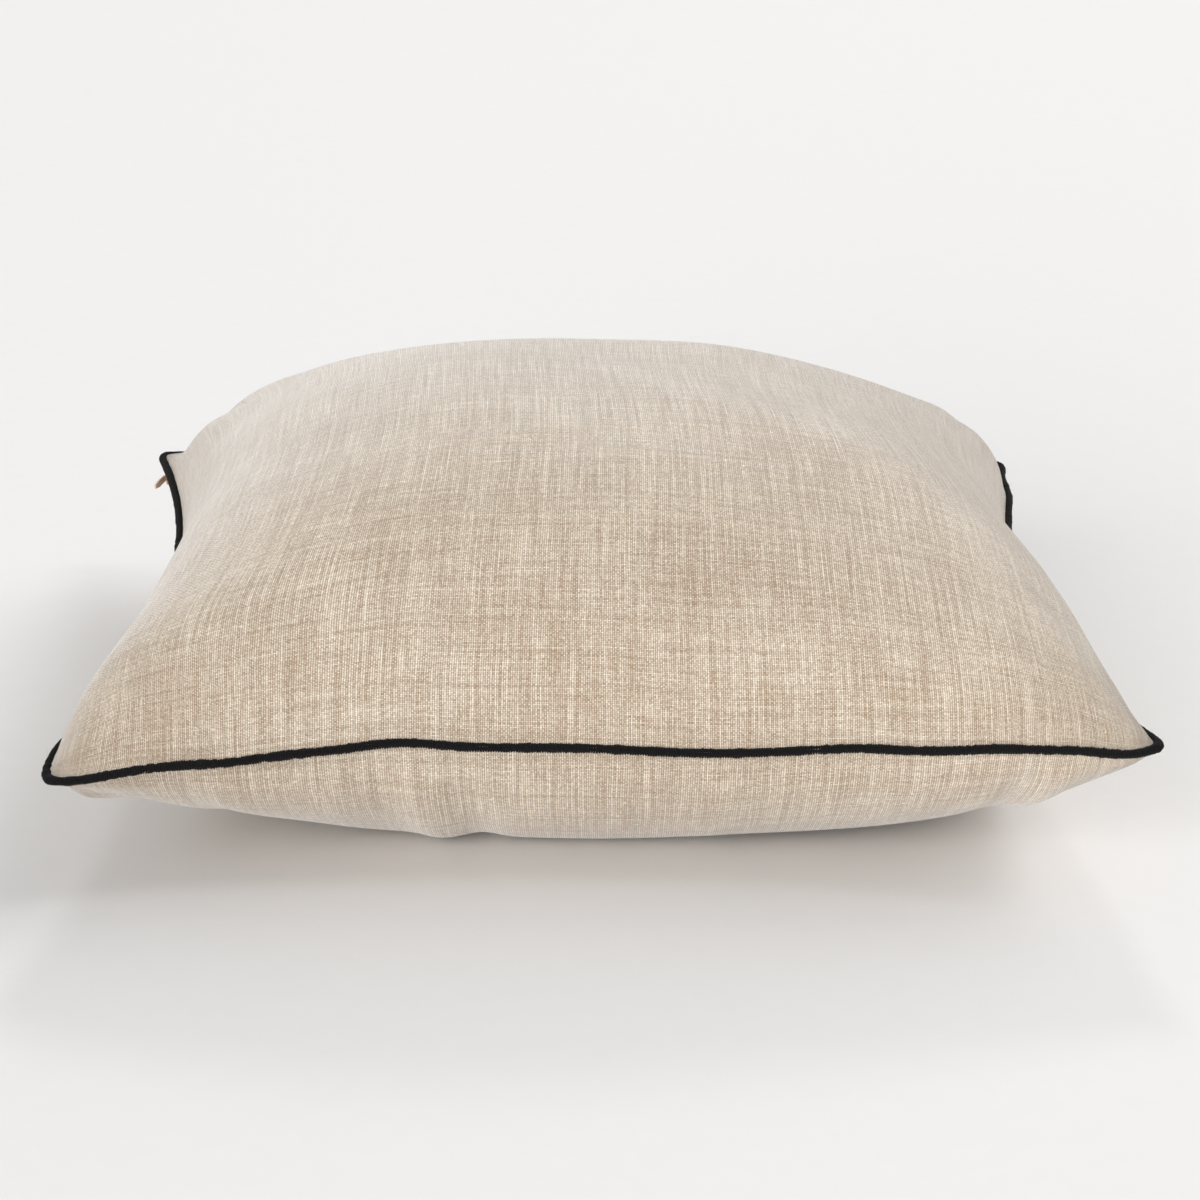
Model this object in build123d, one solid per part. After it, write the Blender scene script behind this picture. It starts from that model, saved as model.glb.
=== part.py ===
from build123d import *
import math
import os

# Square knife-edge floor cushion: a zipped linen cover over a stuffed insert.
# Origin at the bottom centre on the floor, +X to the right, +Y to the back, +Z up. Millimetres.

# Cover outline, at the cut edge of the fabric
WIDTH = 575.0  # corner to corner along X
DEPTH = 573.0  # corner to corner along Y
SIDE_SAG = 38.0  # how far each seam bows inwards at its middle
CORNER_RADIUS = 9.0
SEAM_Z = 78.0  # height of the seam above the floor
CROWN_Z = 222.0  # height of the top panel's highest point
BELLY_DROP = 112.0  # how deep the bottom panel would hang below the seam with no floor under it

# Cloth
LINEN = 1.2  # thickness of the cover linen
FLANGE = 4.5  # flat margin of each panel that the edging wraps
EAR_INSET = 17.0  # flat ear at each corner, along the diagonal, before the panel starts to swell
LAYER_GAP = 0.5  # clearance between one layer and the next
CASING = 0.6  # thickness of the insert's cotton casing
INSERT_SIDE_GAP = 3.2  # room at the side, behind the zip

# Edging yarn
YARN = 1.35  # thickness of the wrapped yarn
EDGING_BITE = 4.2  # how far the edging reaches in from the cut edge
EDGING_ROUND = 2.0
CLOTH_PLAY = 0.05  # looseness between pieces sewn together

# Zip
ZIP_LENGTH = 520.0
COIL = 2.2  # each coil row, high and deep
COIL_GAP = 1.3  # slot between the two rows, for the slider's post
CHAIN_DROP = 7.0  # chain centre below the seam
TAPE = 0.6
TAPE_BELOW = 8.0  # how far the lower tape reaches below the chain centre
STOP_LENGTH = 2.0

# Slider and pull
SLIDER_LENGTH = 9.0
SLIDER_HEIGHT = 7.6
PLATE = 1.2
POST_LENGTH = 3.0
POST_THICK = 0.7
RUN_GAP = 0.3  # clearance round the chain
PARK_INSET = 8.0  # slider centre from the closed end of the zip
BRIDGE_HALF = 2.6
BRIDGE_RISE = 1.5
BRIDGE_BAR = 0.8
BRIDGE_WIDE = 1.0
PULL_PIN = 0.5  # radius of the pull's end bar
PULL_LENGTH = 21.0
PULL_THICK = 1.1
PULL_ROOT = 3.4
PULL_WIDE = 4.6
PULL_ANGLE = 25.0  # how far the pull stands off the chain at rest

# Sewing
STITCH_LENGTH = 3.0
STITCH_GAP = 1.0
THREAD = 0.35
STITCH_DROP = 6.0  # stitches below the chain centre

# Control net of the swelling: relative place and lift of seven control points across the cushion
NET = 6
NET_PLACE = [-1.0, -0.994, -0.48, 0.0, 0.48, 0.994, 1.0]
NET_LIFT = [0.0, 0.541, 1.439, 0.719, 1.439, 0.541, 0.0]
TALL = 400.0


def arc_radius(chord, sag):
    """Radius of an arc from its chord and its sag."""
    return (chord * chord / 4 + sag * sag) / (2 * sag)


SIDE_RADIUS = arc_radius(DEPTH, SIDE_SAG)
SIDE_CENTRE = -WIDTH / 2 + SIDE_SAG - SIDE_RADIUS  # X of the left seam's centre of curvature
CHAIN_Z = SEAM_Z - CHAIN_DROP
TAPE_FACE = SIDE_RADIUS + FLANGE  # outward face of the zip tape, as a radius about that centre
COIL_FACE = TAPE_FACE - COIL
ZIP_HALF_ANGLE = math.degrees(ZIP_LENGTH / 2 / SIDE_RADIUS)
PARK_ANGLE = math.degrees((ZIP_LENGTH / 2 - PARK_INSET) / SIDE_RADIUS)


def outline():
    """Plan of the cover at its cut edge: four arcs bowed inwards, with rounded corners."""
    w, d = WIDTH / 2, DEPTH / 2
    corners = [(-w, -d), (w, -d), (w, d), (-w, d)]
    middles = [(0, -d + SIDE_SAG), (w - SIDE_SAG, 0), (0, d - SIDE_SAG), (-w + SIDE_SAG, 0)]
    arcs = [
        ThreePointArc(corners[i], middles[i], corners[(i + 1) % 4])
        for i in range(4)
    ]
    face = fillet(make_face(Wire(arcs)).vertices(), CORNER_RADIUS).face()
    return face if face.normal_at().Z > 0 else -face


def plate(face, low, high):
    """A plan face made into a flat plate between two heights."""
    return Pos(0, 0, low) * extrude(face, high - low, dir=(0, 0, 1))


def elevate(points, degree):
    """Bezier control points raised to a higher degree, with the same curve."""
    while len(points) <= degree:
        n = len(points)
        raised = [points[0]]
        for i in range(1, n):
            raised.append(points[i - 1] * (i / n) + points[i] * (1 - i / n))
        points = raised + [points[-1]]
    return points


def rim_curves(side_in):
    """Quadratic control points of the four curves where the panels start to swell: front first."""
    ear = (EAR_INSET + side_in) / math.sqrt(2)
    w, d = WIDTH / 2 - ear, DEPTH / 2 - ear
    inset = SIDE_SAG + FLANGE + side_in
    x, y, z = WIDTH / 2 - inset, DEPTH / 2 - inset, SEAM_Z
    fl, fr, br, bl = Vector(-w, -d, z), Vector(w, -d, z), Vector(w, d, z), Vector(-w, d, z)
    ends = [
        (fl, Vector(0, -y, z), fr),
        (fr, Vector(x, 0, z), br),
        (bl, Vector(0, y, z), br),
        (fl, Vector(-x, 0, z), bl),
    ]
    return [[start, middle * 2 - (start + end) * 0.5, end] for start, middle, end in ends]


def margin(low, high):
    """Flat margin between the cut edge and the middle of the swollen panel's wall."""
    rims = [Edge.make_bezier(*points) for points in rim_curves(LINEN / 2)]
    hole = plate(make_face(Wire(rims)), low - 1, high + 1)
    return plate(outline(), low, high) - Pos(0, 0, -SEAM_Z) * hole


def swell(side_in, rise):
    """Bezier face over the outline, side_in inside the flange, its middle `rise` above the seam."""
    front, right, back, left = [elevate(points, NET) for points in rim_curves(side_in)]
    fl, fr, br, bl = front[0], front[-1], back[-1], back[0]
    net = []
    for i in range(NET + 1):
        u = i / NET
        row = []
        for j in range(NET + 1):
            v = j / NET
            flat = front[i] * (1 - v) + back[i] * v + left[j] * (1 - u) + right[j] * u
            corners = (fl * (1 - u) + fr * u) * (1 - v) + (bl * (1 - u) + br * u) * v
            inside = 0 < i < NET and 0 < j < NET
            shift_x = (NET_PLACE[i] - 2 * u + 1) * fr.X if inside else 0
            shift_y = (NET_PLACE[j] - 2 * v + 1) * br.Y if inside else 0
            lift = rise * NET_LIFT[i] * NET_LIFT[j]
            row.append(flat - corners + Vector(shift_x, shift_y, lift))
        net.append(row)
    return Face.make_bezier_surface(net)


def dome(side_in, level_in):
    """Closed solid of the swollen cushion, shrunk by side_in at the sides and level_in in height."""
    top = swell(side_in, CROWN_Z - SEAM_Z - level_in)
    bottom = swell(side_in, -BELLY_DROP + level_in)
    body = Solid(Shell([top, bottom]))
    floor_cut = Pos(0, 0, level_in - TALL / 2) * Box(2 * WIDTH, 2 * DEPTH, TALL)
    return body - floor_cut


def half_space(top):
    """Everything above the seam plane, or below it."""
    z = SEAM_Z + TALL / 2 if top else SEAM_Z - TALL / 2
    return Pos(0, 0, z) * Box(2 * WIDTH, 2 * DEPTH, TALL)


def turned(section, centre, start, end):
    """A section drawn in the XZ plane, revolved about a vertical axis between two angles."""
    swept = revolve(section.rotate(Axis.Z, start), Axis.Z, end - start)
    return Pos(centre) * swept


def left_strip(near, far, low, high, start=-ZIP_HALF_ANGLE, end=ZIP_HALF_ANGLE):
    """A strip that follows the left seam, between two radii, two heights and two angles."""
    corners = [(near, low), (far, low), (far, high), (near, high)]
    section = Plane.XZ * Polygon(*corners, align=None)
    return turned(section, (SIDE_CENTRE, 0, 0), start, end)


def cover_top(outer, inner):
    """Top panel: the upper half of the shell with its flat margin."""
    shell = (outer - inner) & half_space(True)
    return shell + margin(SEAM_Z, SEAM_Z + LINEN)


def cover_bottom(outer, inner):
    """Bottom panel: the lower half of the shell, its margin, and the folded pocket behind the zip."""
    shell = (outer - inner) & half_space(False)
    fold_top = CHAIN_Z - SLIDER_HEIGHT / 2 - RUN_GAP
    fold_low = CHAIN_Z - TAPE_BELOW
    back = TAPE_FACE + TAPE + PLATE + 3 * RUN_GAP
    opening = left_strip(SIDE_RADIUS - 2 * YARN, back, fold_low, SEAM_Z + 1)
    facing = left_strip(TAPE_FACE - LINEN, TAPE_FACE, fold_low - LINEN, fold_top)
    shelf = left_strip(TAPE_FACE - LINEN, back + LINEN, fold_low - LINEN, fold_low)
    guard = left_strip(back, back + LINEN, fold_low - LINEN, SEAM_Z)
    return (shell + margin(SEAM_Z - LINEN, SEAM_Z) - opening) + facing + ((shelf + guard) - inner)


def edging_section(edge, inwards):
    """Rounded section of the yarn with the panels' slot; the cut edge at `edge`, inwards +1 or -1."""
    half = LINEN + YARN
    width = EDGING_BITE + YARN
    middle = edge + inwards * (width / 2 - YARN)
    body = Pos(middle, SEAM_Z) * RectangleRounded(width, 2 * half, EDGING_ROUND)
    slot_middle = edge + inwards * (width / 2 - CLOTH_PLAY)
    slot = Pos(slot_middle, SEAM_Z) * Rectangle(width, 2 * (LINEN + CLOTH_PLAY))
    return Plane.XZ * (body - slot)


def edging_run(chord, radius, half_turn, corner_turns):
    """One side's yarn, drawn as a left side: its arc and half of each rounded corner."""
    middle = turned(edging_section(radius, 1), (0, 0, 0), -half_turn, half_turn)
    reach = radius + CORNER_RADIUS
    x = reach * math.cos(math.radians(half_turn))
    y = reach * math.sin(math.radians(half_turn))
    near = -radius + SIDE_SAG - chord
    section = edging_section(CORNER_RADIUS, -1)
    back = turned(section, (x, y, 0), 180 + half_turn - corner_turns, 180 + half_turn)
    front = turned(section, (x, -y, 0), 180 - half_turn, 180 - half_turn + corner_turns)
    return Pos(near, 0, 0) * (middle + back + front)


def corner_half_turns():
    """Angles from each side's middle to its rounded corner's centre, about the side's own centre."""
    side, front = arc_radius(DEPTH, SIDE_SAG), arc_radius(WIDTH, SIDE_SAG)
    side_x = -WIDTH / 2 + SIDE_SAG - side
    front_y = -DEPTH / 2 + SIDE_SAG - front
    a, b = side + CORNER_RADIUS, front + CORNER_RADIUS
    span = math.hypot(side_x, front_y)
    along = (a * a - b * b + span * span) / (2 * span)
    across = math.sqrt(a * a - along * along)
    x = side_x + (along * -side_x - across * front_y) / span
    y = (along * front_y - across * side_x) / span
    return math.degrees(math.asin(-y / a)), math.degrees(math.asin(-x / b))


def edging(side):
    """The yarn along one side: 0 left, 1 front, 2 right, 3 back."""
    side_half, front_half = corner_half_turns()
    corner = (90 + side_half + front_half) / 2
    if side % 2 == 0:
        run = edging_run(WIDTH / 2, SIDE_RADIUS, side_half, corner)
    else:
        run = edging_run(DEPTH / 2, arc_radius(WIDTH, SIDE_SAG), front_half, corner)
    return run.rotate(Axis.Z, 90 * side)


def zip_tape_upper():
    """Tape half sewn under the top panel: a flat margin in the edging, turned down to the coil."""
    top = SEAM_Z - CLOTH_PLAY
    margin = left_strip(SIDE_RADIUS + CLOTH_PLAY, TAPE_FACE + TAPE, top - TAPE, top)
    hanging = left_strip(TAPE_FACE, TAPE_FACE + TAPE, CHAIN_Z + COIL_GAP / 2, top)
    return margin + hanging


def zip_tape_lower():
    """Tape half sewn behind the folded edge of the bottom panel."""
    return left_strip(TAPE_FACE, TAPE_FACE + TAPE, CHAIN_Z - TAPE_BELOW, CHAIN_Z - COIL_GAP / 2)


def coil_row(upper):
    """One coil row, a strip on the outward face of its tape."""
    near = CHAIN_Z + COIL_GAP / 2 if upper else CHAIN_Z - COIL_GAP / 2 - COIL
    end = ZIP_HALF_ANGLE - math.degrees(STOP_LENGTH / SIDE_RADIUS)
    return left_strip(COIL_FACE, TAPE_FACE - CLOTH_PLAY, near, near + COIL, -end, end)


def zip_stop(upper_end, low, high):
    """A metal stop crimped over the end of the chain."""
    step = math.degrees(STOP_LENGTH / SIDE_RADIUS)
    start = ZIP_HALF_ANGLE - step if upper_end else -ZIP_HALF_ANGLE
    return left_strip(COIL_FACE, TAPE_FACE - CLOTH_PLAY, low, high, start, start + step)


def stitch_row():
    """Short straight stitches through the folded edge and the lower tape, on its outer face."""
    step = math.degrees((STITCH_LENGTH + STITCH_GAP) / SIDE_RADIUS)
    length = math.degrees(STITCH_LENGTH / SIDE_RADIUS)
    count = int(2 * ZIP_HALF_ANGLE / step)
    face = TAPE_FACE - LINEN - CLOTH_PLAY
    low = CHAIN_Z - STITCH_DROP
    first = -count * step / 2
    return [
        left_strip(face - THREAD, face, low, low + THREAD, first + i * step, first + i * step + length)
        for i in range(count)
    ]


def at_park(solid):
    """From the slider's own frame, X inwards and Y along the chain, to its parked place."""
    return Pos(SIDE_CENTRE, 0, 0) * (Pos(0, 0, CHAIN_Z) * solid).rotate(Axis.Z, PARK_ANGLE)


def block(x0, x1, y_half, z0, z1):
    """A box from two X values, a half length along Y and two heights."""
    centre = Pos((x0 + x1) / 2, 0, (z0 + z1) / 2)
    return centre * Box(x1 - x0, 2 * y_half, z1 - z0)


def zip_slider():
    """Slider: outer plate with lips, inner plate, the post between the rows, and the bridge."""
    half, tall = SLIDER_LENGTH / 2, SLIDER_HEIGHT / 2
    face = COIL_FACE - RUN_GAP
    back = TAPE_FACE + TAPE + RUN_GAP
    rows = COIL_GAP / 2 + COIL + RUN_GAP
    outer = fillet(block(face - PLATE, face, half, -tall, tall).edges().filter_by(Axis.X), 2.0)
    lips = [
        block(face - 0.2, TAPE_FACE - RUN_GAP, half - 2, low, low + tall - rows)
        for low in (-tall, rows)
    ]
    inner = fillet(block(back, back + PLATE, half, -tall, tall).edges().filter_by(Axis.X), 2.0)
    post = block(face - 0.2, back + 0.2, POST_LENGTH / 2, -POST_THICK / 2, POST_THICK / 2)
    skin = face - PLATE
    crown = skin - BRIDGE_RISE - BRIDGE_BAR
    arch = block(crown, skin + 0.2, BRIDGE_HALF, -BRIDGE_WIDE / 2, BRIDGE_WIDE / 2)
    window = block(crown + BRIDGE_BAR, skin, BRIDGE_HALF - BRIDGE_BAR, -TALL, TALL)
    arch = fillet((arch - window).edges().filter_by(Axis.Z).group_by(Axis.X)[0], BRIDGE_BAR - 0.1)
    return at_park(outer + lips[0] + lips[1] + inner + post + arch)


def pull_axis_x():
    """X of the pull's pin in the slider's frame, the middle of the bridge's window."""
    return COIL_FACE - RUN_GAP - PLATE - BRIDGE_RISE / 2


def zip_pull():
    """Slim leaf-shaped pull with an eye round the bridge, standing off the chain."""
    bar = PULL_PIN
    outline_points = [
        (0, PULL_ROOT / 2),
        (-PULL_LENGTH * 0.6, PULL_WIDE / 2),
        (-PULL_LENGTH, PULL_ROOT / 3),
        (-PULL_LENGTH, -PULL_ROOT / 3),
        (-PULL_LENGTH * 0.6, -PULL_WIDE / 2),
        (0, -PULL_ROOT / 2),
    ]
    leaf = Plane.YZ * make_face(Polyline(*outline_points, close=True))
    blade = Pos(-PULL_THICK / 2, 0, 0) * extrude(leaf, PULL_THICK)
    ends = blade.edges().filter_by(Axis.X).group_by(Axis.Y)[0]
    blade = fillet(ends, PULL_ROOT / 4)
    reach = BRIDGE_HALF + BRIDGE_BAR
    eye_half = BRIDGE_WIDE / 2 + RUN_GAP
    eye = block(-TALL, TALL, reach / 2, -eye_half, eye_half)
    blade = blade - Pos(0, -bar - reach / 2, 0) * eye
    pin = Cylinder(bar, PULL_ROOT)
    pull = (blade + pin).rotate(Axis.Z, -PULL_ANGLE)
    return at_park(Pos(pull_axis_x(), 0, 0) * pull)


def write(name, solid):
    """Save one node."""
    export_step(solid, os.path.join("parts", name + ".step"))


def main():
    os.makedirs("parts", exist_ok=True)
    outer = dome(0, 0)
    inner = dome(LINEN, LINEN)
    write("cover_top_panel", cover_top(outer, inner))
    write("cover_bottom_panel", cover_bottom(outer, inner))
    for side, name in enumerate(("left", "front", "right", "back")):
        write("edging_" + name, edging(side))
    write("zip_tape_upper", zip_tape_upper())
    write("zip_tape_lower", zip_tape_lower())
    write("zip_coil_upper", coil_row(True))
    write("zip_coil_lower", coil_row(False))
    reach = COIL_GAP / 2 + COIL
    top_stops = [
        zip_stop(True, CHAIN_Z + COIL_GAP / 2, CHAIN_Z + reach),
        zip_stop(True, CHAIN_Z - reach, CHAIN_Z - COIL_GAP / 2),
    ]
    write("zip_top_stops", Compound(top_stops))
    write("zip_bottom_stop", zip_stop(False, CHAIN_Z - reach, CHAIN_Z + reach))
    write("zip_stitching", Compound(stitch_row()))
    write("zip_slider", zip_slider())
    write("zip_pull_tab", zip_pull())
    side, level = LINEN + INSERT_SIDE_GAP, LINEN + LAYER_GAP
    casing = dome(side, level) - dome(side + CASING, level + CASING)
    write("insert_casing_top", casing & half_space(True))
    write("insert_casing_bottom", casing & half_space(False))
    inside = CASING + LAYER_GAP
    write("insert_filling", dome(side + inside, level + inside))


main()
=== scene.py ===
import bpy
import math
import numpy as np
from mathutils import Matrix, Vector


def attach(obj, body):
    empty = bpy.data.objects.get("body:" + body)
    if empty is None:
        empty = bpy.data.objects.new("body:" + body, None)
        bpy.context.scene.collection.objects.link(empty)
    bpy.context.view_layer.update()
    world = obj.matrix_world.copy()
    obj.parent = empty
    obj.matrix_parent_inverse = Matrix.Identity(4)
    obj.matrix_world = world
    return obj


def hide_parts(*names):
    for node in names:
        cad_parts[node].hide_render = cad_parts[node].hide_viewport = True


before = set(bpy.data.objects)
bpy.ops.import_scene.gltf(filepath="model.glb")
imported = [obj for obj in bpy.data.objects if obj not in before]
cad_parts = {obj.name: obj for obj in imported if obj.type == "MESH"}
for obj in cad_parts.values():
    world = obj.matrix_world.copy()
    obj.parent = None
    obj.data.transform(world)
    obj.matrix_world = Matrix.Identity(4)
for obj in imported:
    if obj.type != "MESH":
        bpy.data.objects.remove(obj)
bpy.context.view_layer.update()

# Cover outline, metres: the same driving sizes as the frame
HALF_X = 0.2875
HALF_Y = 0.2865
SEAM_Z = 0.078
SAG_LEFT = 0.038
SAG_RIGHT = 0.0377
SAG_FRONT = 0.0416
SAG_BACK = 0.0455
FRONT_BOW = 2.5  # power of the front seam's bow: straighter in the middle than an arc
FLANGE = 0.0045
FRONT_DIP = 0.0038
RIGHT_DIP = 0.0045
BACK_DIP = 0.0036

# Ears: how far each corner is pulled from the plain outline, and how far along x and y that reaches
EARS = {
    (-1, -1): ((-0.0080, -0.007, -0.0085), (0.115, 0.034)),
    (1, -1): ((-0.0035, 0.0, 0.0095), (0.11, 0.11)),
    (1, 1): ((-0.0115, 0.0, -0.0065), (0.11, 0.11)),
}
CORNER_REACH = {(-1, -1): 0.040, (1, -1): 0.024, (1, 1): 0.022, (-1, 1): 0.022}

# Pinched ears: how much of the stuffing is missing at each corner, and how far in that reaches
PINCHES = {(-1, -1): (0.30, 0.050), (1, -1): (0.35, 0.055), (1, 1): (0.55, 0.060), (-1, 1): (0.74, 0.076)}

BELLY_PINCH = 0.4  # the share of each pinch that the bottom panel takes

# Where the right side bows less: by how much of its bow, middle along y, spread
RIGHT_EASE = (0.22, -0.5, 0.35)

# Flank bulges, as (side, middle along y, spread, how far out)
FLANKS = ((1, -0.58, 0.30, 0.0050), (-1, -0.84, 0.15, 0.0125))

# Folds in the cloth: panel, middle in u and v, direction in degrees, half length, half width, height.
# They are ridges where the height is positive and creases where it isn't.
FOLDS = (
    ("top", 0.318, 0.105, 96, 0.034, 0.0045, -0.0011),
    ("top", 0.330, 0.045, 90, 0.022, 0.0060, 0.0012),
    ("top", 0.372, 0.040, 88, 0.020, 0.0060, -0.0009),
    ("top", 0.905, 0.050, 100, 0.026, 0.0070, -0.0012),
    ("top", 0.860, 0.045, 92, 0.024, 0.0065, 0.0009),
    ("top", 0.070, 0.880, 108, 0.055, 0.0095, -0.0028),
    ("top", 0.115, 0.870, 104, 0.060, 0.0120, 0.0016),
    ("top", 0.055, 0.130, 62, 0.050, 0.0080, -0.0012),
    ("top", 0.940, 0.130, 118, 0.050, 0.0080, -0.0012),
    ("top", 0.935, 0.880, 72, 0.050, 0.0090, -0.0018),
    ("bottom", 0.335, 0.060, 84, 0.050, 0.0110, 0.0030),
    ("bottom", 0.378, 0.060, 86, 0.050, 0.0100, -0.0028),
    ("bottom", 0.290, 0.050, 90, 0.030, 0.0090, -0.0018),
    ("bottom", 0.600, 0.050, 90, 0.028, 0.0110, 0.0012),
    ("bottom", 0.872, 0.055, 96, 0.036, 0.0100, -0.0030),
    ("bottom", 0.905, 0.060, 99, 0.036, 0.0090, 0.0024),
    ("bottom", 0.140, 0.060, 72, 0.040, 0.0100, -0.0024),
    ("bottom", 0.930, 0.500, 0, 0.030, 0.0100, -0.0020),
    ("bottom", 0.500, 0.940, 90, 0.030, 0.0100, -0.0020),
)

# The front seam's rise and fall: place along x, height, spread
FRONT_WAVES = (
    (-0.200, -0.0040, 0.036),
    (-0.105, 0.0034, 0.026),
    (0.055, -0.0033, 0.050),
    (0.130, 0.0010, 0.020),
    (0.197, 0.0026, 0.024),
    (0.262, -0.0028, 0.018),
)
BACK_WAVES = ((-0.222, 0.0060, 0.030), (-0.080, 0.0020, 0.060), (0.120, -0.0020, 0.050))
WAVE_SHARE = 5  # a wave fades out over one part in five of the panel

# Stuffing
CROWN = 0.1372  # lift of the top panel above the seam, at the middle
BELLY = 0.1046
SIDE_POWER = 2.46
FULLNESS = 0.513
BELLY_FULLNESS = 0.478
LEAN = -0.026  # the crown's slope to the back
TILT = 0.028  # and its fall to the right
FLOOR_TURN = 0.03  # below this height the bottom panel turns to the floor
FLOOR_SOFT = 0.006

# Lumps of the stuffing: direction in radians, waves across the panel, phase
LUMPS = ((0.35, 5.1, 0.4), (1.25, 6.7, 2.1), (2.2, 4.3, 4.0), (2.9, 8.3, 1.2), (0.9, 9.7, 5.3))
LUMP_HEIGHT = 0.0042
LUMP_CLEAR = 0.06  # a lump grows to its height over this distance from the margin
FOLD_CLEAR = 0.006  # and a fold over this one
FOLD_SPAN = 0.6  # metres of panel that the folds' places in u and v are measured in

# Zip side
SIDE_RADIUS = (HALF_Y**2 + SAG_LEFT**2) / (2 * SAG_LEFT)
SIDE_CENTRE = -HALF_X + SAG_LEFT - SIDE_RADIUS
ZIP_HALF = 0.260
ZIP_DROP = 0.0125  # the bottom panel's folded edge below the seam, under the zip
FOLD_IN = 0.0035
FOLD_LEVEL = 0.014  # the folded edge is level this far in
FOLD_FADE = 0.035  # and then fades over this distance
ZIP_STEP = 0.020  # length of the fold's step past each end of the zip
CHAIN = -0.007  # chain centre below the seam
CHAIN_SLOT = 0.0006  # from the chain centre to the edge of each tape
TAPE_FACE = 0.0045  # the tapes' outward face, in from the cut edge
TAPE = 0.0006
TAPE_EDGE = 0.0002  # the upper tape's outer edge, in from the cut edge
TAPE_TOP = -0.0001
TAPE_TURN = -0.0121  # where the lower tape turns in to lie on the bottom panel's margin
TAPE_IN = 0.0125
TAPE_STEPS = 160
COIL_PITCH = 0.0015
COIL_WIDE = 0.0008
COIL_HIGH = 0.00085
COIL_WIRE = 0.00033
COIL_DROP = 0.00168  # middle of each coil from the chain centre
COIL_OUT = 0.0012  # and outwards from the tapes' face
COIL_STEPS = 10  # to a turn
STOP_ROOM = 0.002  # the coils end this far short of the zip's ends

CLOTH = 0.0012
YARN = 0.00068  # radius of the edging yarn
WRAP_PITCH = 0.00132
BAND_IN = 0.00143  # middle of the wrapped band, in from the cut edge
BAND_WIDE = 0.0021
BAND_HIGH = 0.00187
YARN_STEPS = 12  # to a turn
YARN_SIDES = 6
CORE_STEPS = 420
CORE_SIDES = 8
HAIRS = 150
HAIR_STEPS = 5
HAIR_SIDES = 4
HAIR = 0.00005
THREAD = 0.00102  # pitch of the linen's threads

GRID = 109
CROWDING = 0.55
EASE = 1.014  # cut cloth against the stuffed shape
CAP = 0.009  # furthest that the simulation may move a point
CAP_CLEAR = 0.05  # the distance from the margin over which a point gains that freedom
SINK = 0.0025  # furthest inwards
PRESSURE = 4.0
FRAMES = 20

# Insert
INSERT_GRID = 65
CASING_CLOTH = 0.0006
CASING_INSET = 0.012
FILLING_INSET = 0.014
INSET_HEIGHT = 0.09  # half height that an inset is measured against


# ---------------------------------------------------------------- surfaces

def grid_steps(count):
    """Steps from 0 to 1: three across the flat margin, then part even and part a half cosine, so that
    they crowd towards both ends."""
    t = np.linspace(0, 1, count - 4)
    inner = (1 - CROWDING) * t + CROWDING * (0.5 - 0.5 * np.cos(np.pi * t))
    margin = FLANGE / (2 * HALF_X)
    return np.concatenate([[0, margin / 2], margin + inner * (1 - 2 * margin), [1 - margin / 2, 1]])


def ear_pull(p):
    """Points moved with their nearest ear: its pull times (1 - distance squared) squared, the distance
    measured in reaches along x and y."""
    moved = p.copy()
    for (sx, sy), (pull, (reach_x, reach_y)) in EARS.items():
        far = np.hypot((p[..., 0] - sx * HALF_X) / reach_x, (p[..., 1] - sy * HALF_Y) / reach_y)
        weight = np.clip(1 - far**2, 0, 1) ** 2
        moved += weight[..., None] * np.array(pull)
    return moved


def round_corners(p, u, v):
    """Points near a corner moved in along both sides by reach * t * t, t falling from a half to 0."""
    turn = 0.966 + 0.259  # both sides' directions where they meet a corner, added
    for (sx, sy), reach in CORNER_REACH.items():
        du = (1 - sx * (2 * u - 1)) * HALF_X
        dv = (1 - sy * (2 * v - 1)) * HALF_Y
        t = 0.5 * np.clip(1 - np.hypot(du, dv) / reach, 0, 1)
        p[..., 0] -= sx * reach * t * t * turn
        p[..., 1] -= sy * reach * t * t * turn
    return p


def seam_sheet(u, v):
    """The cover laid flat in its seam: a square with bowed sides, blended from side to side."""
    su, sv = 2 * u - 1, 2 * v - 1
    left = SIDE_CENTRE + np.sqrt(SIDE_RADIUS**2 - (sv * HALF_Y) ** 2) + HALF_X
    eased, place, spread = RIGHT_EASE
    right = SAG_RIGHT * (1 - sv**2) * (1 - eased * np.exp(-(((sv - place) / spread) ** 2)))
    front = SAG_FRONT * (1 - np.abs(su) ** FRONT_BOW)
    back = SAG_BACK * (1 - su**2)
    x = su * HALF_X + (1 - u) * left - u * right
    y = sv * HALF_Y + (1 - v) * front - v * back
    dip = (1 - v) * FRONT_DIP * (1 - su**2) + v * BACK_DIP * (1 - su**2) + u * RIGHT_DIP * (1 - sv**2)
    near_front = np.clip(1 - v * WAVE_SHARE, 0, 1) ** 2
    near_back = np.clip(v * WAVE_SHARE - (WAVE_SHARE - 1), 0, 1) ** 2
    for waves, near in ((FRONT_WAVES, near_front), (BACK_WAVES, near_back)):
        for place, height, spread in waves:
            dip = dip - height * np.exp(-(((x - place) / spread) ** 2)) * near
    return ear_pull(round_corners(np.stack([x, y, SEAM_Z - dip], -1), u, v))


def swelling(u, v, fullness, pinch=1.0, margin=FLANGE):
    """How far the stuffing lifts the cloth, 0 at the flat margin and 1 in the middle."""
    su = np.clip(np.abs(2 * u - 1) / (1 - margin / HALF_X), 0, 1)
    sv = np.clip(np.abs(2 * v - 1) / (1 - margin / HALF_Y), 0, 1)
    lift = ((1 - su**SIDE_POWER) * (1 - sv**SIDE_POWER)) ** fullness
    for (sx, sy), (depth, reach) in PINCHES.items():
        far = np.hypot(1 - sx * (2 * u - 1), 1 - sy * (2 * v - 1)) * HALF_X / reach
        lift = lift * (1 - pinch * depth * np.clip(1 - far**2, 0, 1) ** 1.5)
    return lift


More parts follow.
